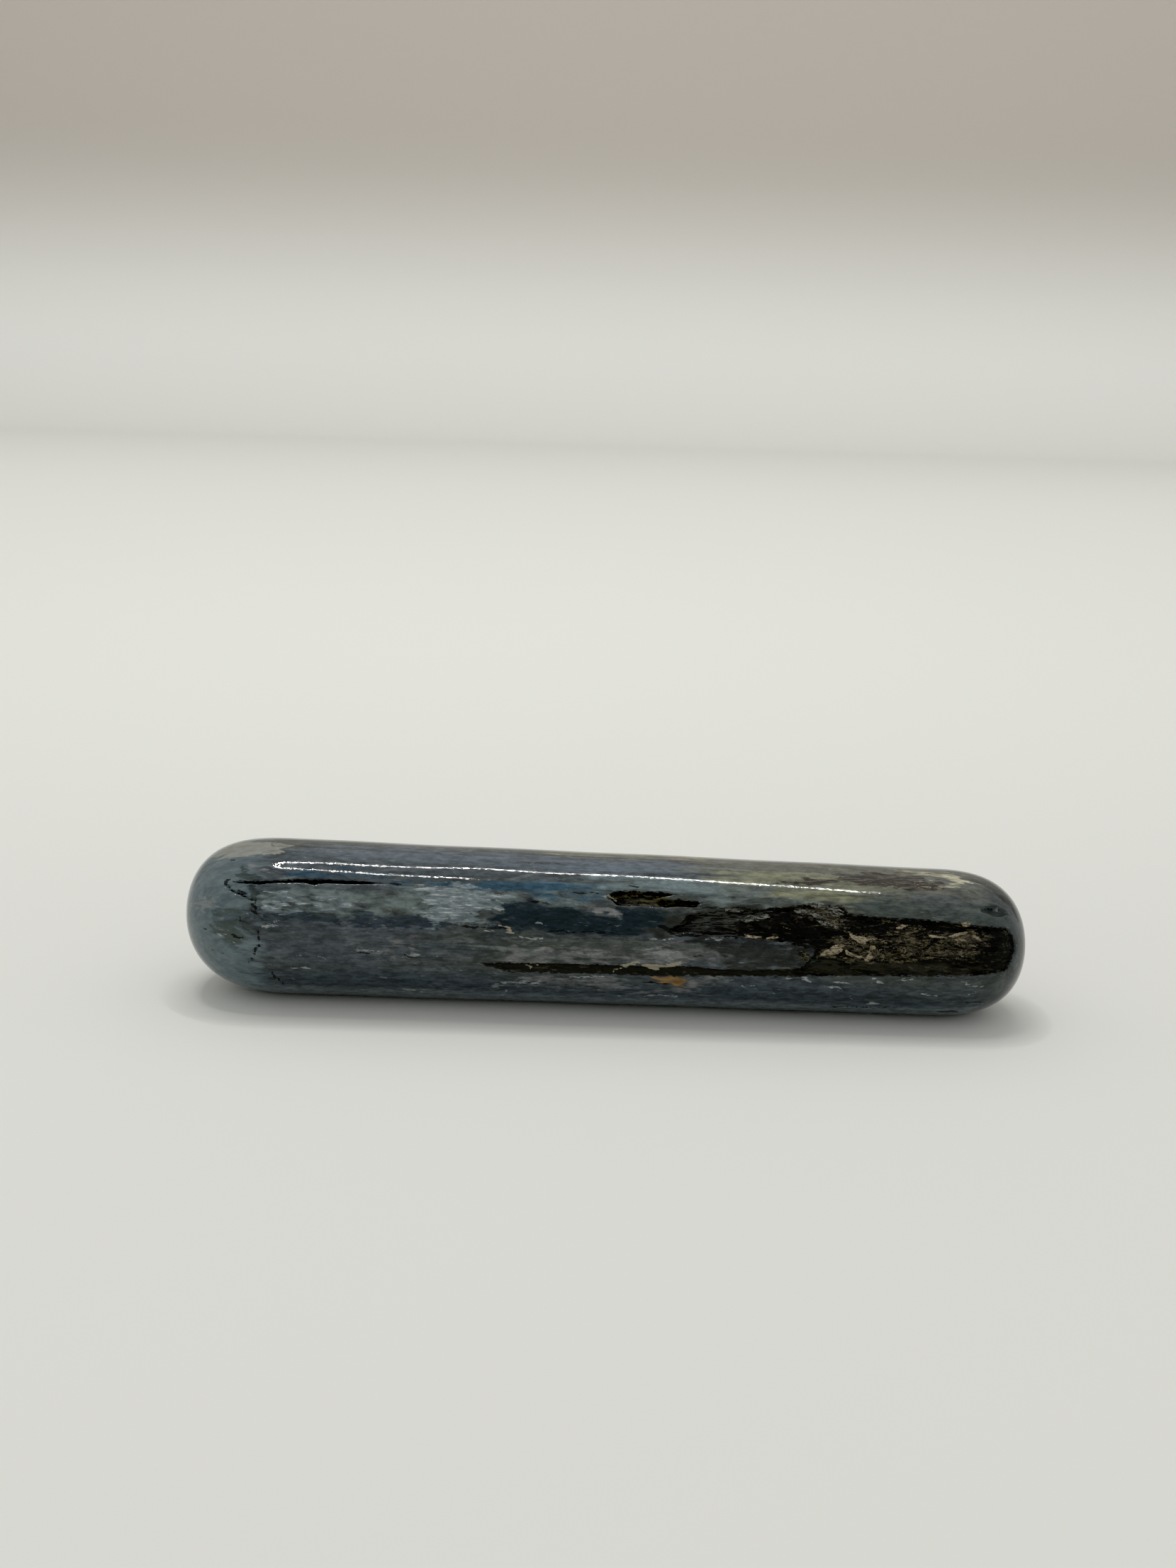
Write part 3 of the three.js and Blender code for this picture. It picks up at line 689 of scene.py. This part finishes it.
class Shading:
    # Short names for the nodes that a material, or the room's light, is made of
    def __init__(self, owner, shader="Principled BSDF"):
        owner.use_nodes = True
        self.tree = owner.node_tree
        self.shader = self.tree.nodes[shader].inputs
        self.places = self.node("TexCoord").outputs
        self.grains = {}

    def node(self, kind, links=(), **settings):
        made = self.tree.nodes.new("ShaderNode" + kind)
        for key, value in settings.items():
            setattr(made, key, value)
        for socket, value in dict(links).items():
            self.feed(made.inputs[socket], value)
        return made

    def feed(self, socket, value):
        if isinstance(value, bpy.types.NodeSocket):
            self.tree.links.new(value, socket)
        else:
            socket.default_value = value

    def scaled(self, size, shift, turned=0):
        # Object coordinates in units of size millimetres along X, Y and Z
        return self.node("Mapping", {"Vector": self.places["Object"], "Location": shift,
                                     "Rotation": (0, math.radians(turned), math.radians(turned)),
                                     "Scale": [1 / (edge * mm) for edge in size]}).outputs[0]

    def noise(self, size, detail, roughness, warp, shift):
        # Noise from 0 to 1 whose lumps are size millimetres along X, Y and Z
        return self.node("TexNoise", {"Vector": self.scaled(size, shift), "Scale": 1.0, "Detail": detail,
                                      "Roughness": roughness, "Distortion": warp}).outputs

    def cells(self, size, shift, turned, warpedBy, amount):
        # Broken plates: a random number for each cell, and the distance to its rim
        moved = self.node("VectorMath", {0: warpedBy, 1: (0.5, 0.5, 0.5)}, operation="SUBTRACT")
        moved = self.node("VectorMath", {0: moved.outputs[0], 1: (amount, amount, amount),
                                         2: self.scaled(size, shift, turned)},
                          operation="MULTIPLY_ADD").outputs[0]
        plate = self.node("TexVoronoi", {"Vector": moved, "Scale": 1.0})
        edge = self.node("TexVoronoi", {"Vector": moved, "Scale": 1.0}, feature="DISTANCE_TO_EDGE")
        number = self.node("SeparateColor", {0: plate.outputs["Color"]}).outputs[0]
        return number, edge.outputs["Distance"]

    def math(self, operation, first, second=0.0, third=0.0):
        made = self.node("Math", {0: first, 1: second, 2: third}, operation=operation)
        return made.outputs[0]

    def times(self, first, second):
        return self.math("MULTIPLY", first, second)

    def either(self, first, second):
        return self.math("MAXIMUM", first, second)

    def unless(self, share):
        return self.math("SUBTRACT", 1, share)

    def line(self, value, slope, start):
        return self.math("MULTIPLY_ADD", value, slope, start)

    def blend(self, share, first, second, way="MIX"):
        made = self.node("Mix", data_type="RGBA", blend_type=way)
        self.feed(made.inputs[0], share)
        self.feed(made.inputs[6], first)
        self.feed(made.inputs[7], second)
        return made.outputs[2]

    def between(self, value, low, high, start=0.0, end=1.0):
        made = self.node("MapRange", {0: value, 1: low, 2: high, 3: start, 4: end},
                         interpolation_type="SMOOTHSTEP")
        return made.outputs[0]

    def stored(self, name):
        return self.node("Attribute", attribute_name=name).outputs["Fac"]

    def inside(self, name, reach, gain, grain, low, high):
        # A marking's share, 0 to 1: the grain shows through where the stored distance lifts it. The reach is
        # how many millimetres the lift takes to grow, from the outline inwards and outwards
        lift = self.node("MapRange", {0: self.stored(name), 1: -reach, 2: reach, 3: -gain, 4: gain})
        return self.between(self.math("ADD", self.grains[grain], lift.outputs[0]), low, high)

    def washed(self, colour, grain, low, high, strength, code):
        return self.blend(self.between(self.grains[grain], low, high, 0, strength), colour, paint(code))

    def laid(self, colour, markings):
        # Lays markings over a colour, in order
        for name, (edge, tone, strength) in markings.items():
            share = self.times(self.inside(name, *edge), strength)
            colour = self.blend(share, colour, self.tone(tone))
        return colour

    def tone(self, tone):
        # One colour, or two that a grain mixes between its low and high ends
        if isinstance(tone, str):
            return paint(tone)
        grain, low, high, first, second = tone
        return self.blend(self.between(self.grains[grain], low, high), paint(first), paint(second))


grains = {      # the size of the lumps along X, Y and Z, the detail, roughness, warp and shift
    "broad": ((30, 3.4, 3.4), 3, 0.55, 0, (3.1, 0.4, 1.7)),
    "bands": ((20, 1.1, 1.1), 5, 0.62, 0.5, (0.5, 2.2, 0.9)),
    "hairs": ((1.9, 0.16, 0.16), 4, 0.6, 0.6, (2, 5, 8)),
    "puffs": ((4.2, 1.4, 1.4), 6, 0.66, 0.6, (7, 3, 5)),
    "tear": ((2.4, 0.6, 0.6), 5, 0.68, 0.4, (4, 4, 9)),
    "fine": ((0.6, 0.2, 0.2), 3, 0.6, 0, (1, 8, 2)),
    "threads": ((9, 0.28, 0.28), 5, 0.68, 0, (6, 1, 3)),
    "mottle": ((1.6, 0.6, 0.6), 5, 0.7, 0.3, (9, 9, 1)),
    "grown": ((9, 1.3, 4.0), 5, 0.62, 0.9, (2, 7, 4)),     # the layers that the two ends cut across
    "curls": ((3.2, 0.34, 0.34), 4, 0.62, 2.2, (1, 6, 4)),
    "foil": ((1.5, 0.6, 0.6), 4, 0.6, 1.2, (5, 2, 6)),
    "grooves": ((0.8, 0.3, 0.3), 4, 0.7, 1.5, (2, 2, 2)),
    "grind": ((0.5, 0.24, 0.24), 1, 0.6, 0, (3, 3, 3)),
}

plainStone = ("broad", 0.4, 0.6, "464a47", "484e52")

washes = [      # a grain, or a distance round the front in millimetres, its two ends, strength, colour
    ("bands", 0.5, 0.64, 0.6, "32393d"),
    ("puffs", 0.46, 0.34, 0.5, "2f3638"),
    ("puffs", 0.54, 0.68, 0.45, "6b7071"),
    ("threads", 0.56, 0.68, 0.24, "727b7b"),
    ("threads", 0.43, 0.34, 0.36, "20262a"),
    # Painted shade over the lower front, then a painted band of floor light lightening the underside
    ("underShadeAndBounce", -1.5, 4, 0.6, "3c434a"),
    ("underShadeAndBounce", 4.5, 7.5, 0.75, "7b8488"),
]
brightHairs = ("hairs", 0.65, 0.73, 0.4, "a3a9a8")

mottling = {"ends": (0.34, 0.66), "strength": 0.32, "lessAtCaps": 0.18, "level": 0.98}

# Each marking's edge is its reach, its gain, the grain that tears it, and the grain's low and high ends.
# Then come its colour, or a grain that mixes two, and its strength

ends = {
    "leftCap": ((5.5, 0.3, "puffs", 0.4, 0.66), ("grown", 0.42, 0.6, "6a787b", "59666c"), 0.7),
    "rightCap": ((3.0, 0.24, "puffs", 0.44, 0.6), ("grown", 0.42, 0.6, "2b302f", "454a49"), 0.7),
}

patches = {
    "mist": ((2.4, 0.24, "puffs", 0.44, 0.66), "65716f", 0.7),
    # partly painted light and reflection on the top band
    "hazeAndTopSheen": ((2.6, 0.22, "bands", 0.42, 0.66), "5b656f", 0.75),
    "blue": ((2.6, 0.24, "bands", 0.42, 0.7), "566f7d", 0.8),
    "denim": ((1.2, 0.3, "bands", 0.4, 0.64), "304a5b", 0.8),
    "navy": ((1.0, 0.34, "tear", 0.47, 0.56), "2d363d", 0.85),
    "deepNavy": ((1.8, 0.3, "puffs", 0.4, 0.58), "1a2529", 0.85),
    "pool": ((1.8, 0.26, "bands", 0.34, 0.6), "6e7d80", 0.75),
    "teal": ((1.6, 0.28, "puffs", 0.46, 0.64), "444c49", 0.85),
    "cloud": ((2.2, 0.26, "tear", 0.46, 0.66), "6b6c6c", 0.75),
    "pale": ((0.9, 0.3, "tear", 0.5, 0.62), "7a7d7c", 0.7),
    "grit": ((1.2, 0.3, "tear", 0.45, 0.56), "32332e", 0.85),
    "dusk": ((2.6, 0.28, "tear", 0.4, 0.6), "252726", 0.88),
    "fibres": ((1.5, 0.3, "tear", 0.46, 0.6), "748083", 0.8),
    "wedge": ((0.5, 0.3, "tear", 0.46, 0.54), "86887f", 0.85),
    "warm": ((4.0, 0.3, "bands", 0.32, 0.62), "64655c", 0.75),
    "olive": ((2.6, 0.3, "bands", 0.34, 0.7), "84866a", 0.78),
    "swirl": ((0.8, 0.4, "tear", 0.46, 0.56), "302c28", 0.92),
    "pearl": ((1.3, 0.26, "hairs", 0.48, 0.58), "b2af96", 0.95),
    "green": ((0.5, 0.26, "tear", 0.48, 0.62), "222a24", 0.6),
    "white": ((0.2, 0.3, "fine", 0.5, 0.62), "9a9f9e", 0.7),
    "rust": ((0.7, 0.3, "tear", 0.42, 0.58), "7d6443", 0.9),
    "dark": ((0.16, 0.34, "fine", 0.48, 0.56), "0d100f", 0.85),
    "pit": ((0.5, 0.34, "fine", 0.44, 0.6), "2c3330", 0.75),
}

scratches = {
    "fibres": ((1.4, 0.3, "tear", 0.48, 0.58), ("hairs", 0.54, 0.64), "b0b5b5", 0.8),
    "swirl": ((0.8, 0.4, "tear", 0.46, 0.56), ("curls", 0.5, 0.6), "746d65", 0.6),
}

plateEdge = (0.16, 0.4, "fine", 0.46, 0.56)
overMica = {
    # Painted shade: the hollows, a little past their lips, and the cracks are painted near black
    "open": ((0.3, 0.4, "fine", 0.48, 0.58), "080705", 1.0),
    "crack": ((0.16, 0.3, "fine", 0.46, 0.56), "10130f", 0.85),
    "olivePlates": (plateEdge, ("grooves", 0.46, 0.62, "100f0b", "6c6552"), 0.9),
    "silverPlates": (plateEdge, ("grooves", 0.44, 0.6, "1c1e1c", "83857d"), 0.9),
    "beigePlates": (plateEdge, ("grooves", 0.4, 0.54, "3e392d", "9b8f79"), 0.9),
    "cream": ((0.2, 0.34, "fine", 0.48, 0.56), "938d7a", 0.85),
    "moss": ((0.3, 0.3, "fine", 0.46, 0.6), "2b2d1c", 0.8),
    # olive-gold flakes, partly painted glints
    "goldFlakesAndGlints": ((0.3, 0.3, "fine", 0.52, 0.6), "575038", 0.7),
}

micaEdges = {
    "mica": (0.4, 0.4, "fine", 0.47, 0.53),
    "streak": (0.4, 0.4, "fine", 0.47, 0.53),
    "torn": (1.2, 0.16, "hairs", 0.57, 0.63),
    "plates": (1.6, 0.3, "tear", 0.44, 0.58),
    "brown": (1.0, 0.26, "bands", 0.44, 0.6),
}
micaColours = {"black": "040403", "brown": "2c2c26", "streak": "21201c", "leaf": "77705c", "creaseGlint": "8c8575"}
micaSwirl = ((3, 2, 2), 3, 0.5, 0, (3, 1, 2))       # the grain that bends the leaves
micaCells = {   # size along X, Y and Z, shift, and degrees turned
    "leaves": ((2.0, 0.5, 0.5), (0.3, 0.1, 0.7), 38),
    "crossLeaves": ((1.7, 0.42, 0.42), (2.3, 1.1, 0.2), -28),
    "chips": ((0.7, 0.24, 0.24), (4.3, 2.1, 0.2), -18),
}
leafBend, chipBend = 4.0, 5.0
gloss = {"smoothest": 0.025, "roughest": 0.07, "brokenAdds": 0.4, "refraction": 1.4}
grindDepth, leafLift = 0.0045, 6.0      # the bump: millimetres, and how many times that for a leaf


def micaLeaves(s):
    # How brightly each leaf shows, with a painted glint inside its rim: two sets lying different ways, mixed
    # in patches, and small chips
    swirl = s.noise(*micaSwirl)
    bend = swirl["Color"]
    number, rim = s.cells(*micaCells["leaves"], bend, leafBend)
    crossNumber, crossRim = s.cells(*micaCells["crossLeaves"], bend, leafBend)
    first = s.between(swirl["Fac"], 0.48, 0.52)
    number = s.math("ADD", s.times(number, first), s.times(crossNumber, s.unless(first)))
    rim = s.math("MINIMUM", s.either(rim, first), s.either(crossRim, s.unless(first)))
    leaves = s.times(s.between(number, 0.25, 0.9, 0, 0.9), s.between(rim, 0.02, 0.16))
    leaves = s.times(leaves, s.between(s.grains["tear"], 0.4, 0.62, 0.25, 1.0))
    # Painted glint: a thin bright line just inside each leaf's rim, where a curled edge would catch the light
    curledRimGlint = s.times(s.between(rim, 0.02, 0.045), s.between(rim, 0.12, 0.06))
    leaves = s.either(leaves, s.times(curledRimGlint, s.between(number, 0.3, 0.6, 0, 0.75)))
    number, rim = s.cells(*micaCells["chips"], bend, chipBend)
    return leaves, s.times(s.between(number, 0.86, 0.97), s.between(rim, 0.05, 0.12))


def addMica(s, colour):
    # The black mica over the stone, then its leaves and the painted glints along its creases
    shares = {name: s.inside(name, *edge) for name, edge in micaEdges.items()}
    black = s.times(s.either(shares["mica"], shares["streak"]), s.unless(shares["torn"]))
    dull = s.blend(s.times(shares["brown"], 0.8), paint(micaColours["black"]), paint(micaColours["brown"]))
    dull = s.blend(s.times(shares["streak"], 0.9), dull, paint(micaColours["streak"]))
    colour = s.blend(black, colour, dull)
    leaves, chips = micaLeaves(s)
    shown = s.times(leaves, s.line(s.stored("leaf"), 0.6, 0.4))
    shown = s.times(shown, s.line(shares["plates"], 0.62, 0.04))
    shown = s.either(shown, s.times(chips, s.line(shares["plates"], 0.3, 0.16)))
    colour = s.blend(s.times(shown, black), colour, paint(micaColours["leaf"]))
    # Painted glints: thin bright lines where the mica is creased, like crumpled foil
    ridge = s.math("ABSOLUTE", s.math("SUBTRACT", s.grains["foil"], 0.5))
    creaseGlints = s.times(s.between(ridge, 0.02, 0.004), s.between(s.grains["tear"], 0.4, 0.62, 0.25, 1.0))
    creaseGlints = s.times(creaseGlints, s.line(shares["plates"], 0.6, 0.1))
    creaseGlints = s.times(creaseGlints, s.times(shares["mica"], black))
    return s.blend(creaseGlints, colour, paint(micaColours["creaseGlint"])), black, s.times(leaves, black)


def kyaniteMaterial():
    material = bpy.data.materials.new("polishedKyanite")
    s = Shading(material)
    s.grains = {name: s.noise(*shape)["Fac"] for name, shape in grains.items()}
    s.grains["underShadeAndBounce"] = s.stored("underShadeAndBounce")

    colour = s.tone(plainStone)
    for wash in washes:
        colour = s.washed(colour, *wash)
    colour = s.laid(s.laid(colour, ends), patches)
    for name, (edge, (grain, low, high), code, strength) in scratches.items():
        share = s.times(s.between(s.grains[grain], low, high), s.inside(name, *edge))
        colour = s.blend(s.times(share, strength), colour, paint(code))
    colour = s.washed(colour, *brightHairs)

    # Mottled darker and lighter, less so at the ends
    capped = s.either(*(s.inside(name, *edge) for name, (edge, tone, strength) in ends.items()))
    uneven = s.times(s.between(s.grains["mottle"], *mottling["ends"], -1, 1),
                     s.line(capped, -mottling["lessAtCaps"], mottling["strength"]))
    uneven = s.math("ADD", uneven, mottling["level"])
    grey = s.node("CombineColor", {0: uneven, 1: uneven, 2: uneven}).outputs[0]
    colour = s.blend(1.0, colour, grey, way="MULTIPLY")

    colour, black, leaves = addMica(s, colour)
    s.feed(s.shader["Base Color"], s.laid(colour, overMica))

    hollow = s.inside("open", *overMica["open"][0])
    rough = s.between(s.grains["tear"], 0.35, 0.7, gloss["smoothest"], gloss["roughest"])
    rough = s.math("ADD", s.times(s.either(black, hollow), gloss["brokenAdds"]), rough)
    s.feed(s.shader["Roughness"], rough)
    s.shader["IOR"].default_value = gloss["refraction"]
    relief = s.math("MULTIPLY_ADD", leaves, leafLift, s.grains["grind"])
    bump = s.node("Bump", {"Height": relief, "Strength": 1.0, "Distance": grindDepth * mm})
    s.feed(s.shader["Normal"], bump.outputs[0])
    return material


stone.data.materials.append(kyaniteMaterial())
print("material made")


# The studio

view = {
    "elevation": 20.0,
    "distance": 0.19207,
    "focalPixels": 2200,
    "imageSize": (1659, 2212),
    "wandAt": (29.87, 200.75),    # pixels right of the picture's middle and below it
    "roll": 1.947,
    "sensor": 36,
    "nearest": 0.005,             # nothing closer than this, in metres, is shown
}


def placeCamera():
    target = Vector((0, 0, wand["middleRadius"] * mm))
    elevation = math.radians(view["elevation"])
    back = Vector((0, -math.cos(elevation), math.sin(elevation)))
    right = Vector((1, 0, 0))
    up = back.cross(right)
    aside, below = (pixels / view["focalPixels"] for pixels in view["wandAt"])
    forward = (-back - right * aside + up * below).normalized()
    right = forward.cross(up).normalized()
    level = Matrix((right, right.cross(forward), -forward)).transposed()
    turned = level @ Matrix.Rotation(math.radians(view["roll"]), 3, "Z")
    data = bpy.data.cameras.new("camera")
    data.sensor_width = view["sensor"]
    data.lens = view["sensor"] * view["focalPixels"] / max(view["imageSize"])
    data.clip_start = view["nearest"]
    camera = bpy.data.objects.new("camera", data)
    camera.matrix_world = Matrix.Translation(target + back * view["distance"]) @ turned.to_4x4()
    bpy.context.scene.collection.objects.link(camera)
    bpy.context.scene.camera = camera


placeCamera()

sweep = {
    "front": -2.0, "flat": 1.5, "curve": 0.3, "steps": 24, "height": 1.2, "width": 5.0,
    "colour": "e5e6e1", "shadedWallColour": "b9b3ab",
    "fade": (0.08, 0.36),       # painted shade greys the wall between these heights
    "roughness": 0.9, "shine": 0.1,
}


def makeFloor():
    floor = bmesh.new()
    side = sweep["width"] / 2
    start = [floor.verts.new((-side, sweep["front"], 0)), floor.verts.new((side, sweep["front"], 0))]
    edge = [floor.edges.new(start)]
    run = bmesh.ops.extrude_edge_only(floor, edges=edge)["geom"]
    verts = [v for v in run if isinstance(v, bmesh.types.BMVert)]
    bmesh.ops.translate(floor, verts=verts, vec=(0, sweep["flat"] - sweep["front"], 0))
    last = verts + [e for e in run if isinstance(e, bmesh.types.BMEdge) and all(v in verts for v in e.verts)]
    bend = bmesh.ops.spin(floor, geom=last, cent=(0, sweep["flat"], sweep["curve"]), axis=(1, 0, 0),
                          angle=math.radians(90), steps=sweep["steps"], use_merge=False,
                          use_duplicate=False)
    edges = [e for e in bend["geom_last"] if isinstance(e, bmesh.types.BMEdge)]
    wall = bmesh.ops.extrude_edge_only(floor, edges=edges)["geom"]
    verts = [v for v in wall if isinstance(v, bmesh.types.BMVert)]
    bmesh.ops.translate(floor, verts=verts, vec=(0, 0, sweep["height"]))
    data = bpy.data.meshes.new("floor")
    floor.to_mesh(data)
    floor.free()
    data.polygons.foreach_set("use_smooth", [True] * len(data.polygons))
    made = bpy.data.objects.new("floor", data)
    bpy.context.scene.collection.objects.link(made)

    material = bpy.data.materials.new("paleFloor")
    s = Shading(material)
    height = s.node("SeparateXYZ", {0: s.places["Object"]}).outputs[2]
    # Painted shade: the wall greys higher up, where less light reaches it
    wallShade = s.between(height, *sweep["fade"])
    colour = s.blend(wallShade, paint(sweep["colour"]), paint(sweep["shadedWallColour"]))
    s.feed(s.shader["Base Color"], colour)
    s.shader["Roughness"].default_value = sweep["roughness"]
    s.shader["Specular IOR Level"].default_value = sweep["shine"]
    data.materials.append(material)


makeFloor()

ledStrip = {    # metres right of the middle, and degrees behind the vertical, at each bend
    "upper": [(-0.165, 6), (-0.15, 11), (-0.1, 15), (-0.04, 18), (0.04, 14.5), (0.085, 10), (0.135, 6)],
    "lower": [(-0.165, 6), (-0.155, 1), (-0.1, -1), (-0.045, -2.5)],
    "away": 0.6,
    "width": 0.005,
    "wattsPerMetre": 1.8,
}
backdropLamp = {"place": (0, 0.15, 1.2), "lean": -84, "length": 2.4, "width": 0.3, "watts": 14}
lampColour = (1.0, 0.99, 0.965)


def hangLamp(name, place, turned, length, width, watts):
    data = bpy.data.lights.new(name, "AREA")
    data.shape = "RECTANGLE"
    data.size = length
    data.size_y = width
    data.energy = watts
    data.color = lampColour
    lamp = bpy.data.objects.new(name, data)
    lamp.matrix_world = Matrix.Translation(place) @ turned.to_4x4()
    bpy.context.scene.collection.objects.link(lamp)


def hangStrip(name):
    # One narrow lamp for each leg of the strip, its length along the leg and its face towards the stone
    away = ledStrip["away"]
    bends = [Vector((x, away * math.sin(math.radians(behind)), away * math.cos(math.radians(behind))))
             for x, behind in ledStrip[name]]
    for i, (start, end) in enumerate(zip(bends, bends[1:])):
        run = end - start
        middle = (start + end) / 2
        out = middle.copy()
        out.x = 0
        side = run.normalized()
        front = (out - side * out.dot(side)).normalized()
        turned = Matrix((side, front.cross(side), front)).transposed()
        hangLamp(f"{name}Strip{i + 1}", middle, turned, run.length, ledStrip["width"],
                 ledStrip["wattsPerMetre"] * run.length)


hangStrip("upper")
hangStrip("lower")
lean = Matrix.Rotation(-math.radians(backdropLamp["lean"]), 3, "X")
hangLamp("backdropLamp", backdropLamp["place"], lean, backdropLamp["length"], backdropLamp["width"],
         backdropLamp["watts"])

room = {
    "back": (0.7, 0.7, 0.68),   # the walls behind and beside the stone
    "front": (0.6, 0.6, 0.6),   # the open side, where the camera stands
    "edge": (-0.5, 0.4),        # where one turns into the other, from front to back
}


def lightRoom():
    world = bpy.data.worlds.new("room")
    s = Shading(world, "Background")
    depth = s.node("SeparateXYZ", {0: s.places["Generated"]}).outputs[1]
    share = s.between(depth, *room["edge"])
    s.feed(s.shader["Color"], s.blend(share, (*room["front"], 1), (*room["back"], 1)))
    bpy.context.scene.world = world


lightRoom()

# The picture's tones: plain, with the darkest ones pulled down as a phone camera does
toneCurve = ((0.018, 0.0015), (0.032, 0.013), (0.06, 0.045), (0.12, 0.115), (0.4, 0.4))


def setTones():
    settings = bpy.context.scene.view_settings
    settings.view_transform = "Standard"
    settings.use_curve_mapping = True
    curve = settings.curve_mapping.curves[3]
    for dark, shown in toneCurve:
        curve.points.new(dark, shown)
    settings.curve_mapping.update()


setTones()
print("studio set")
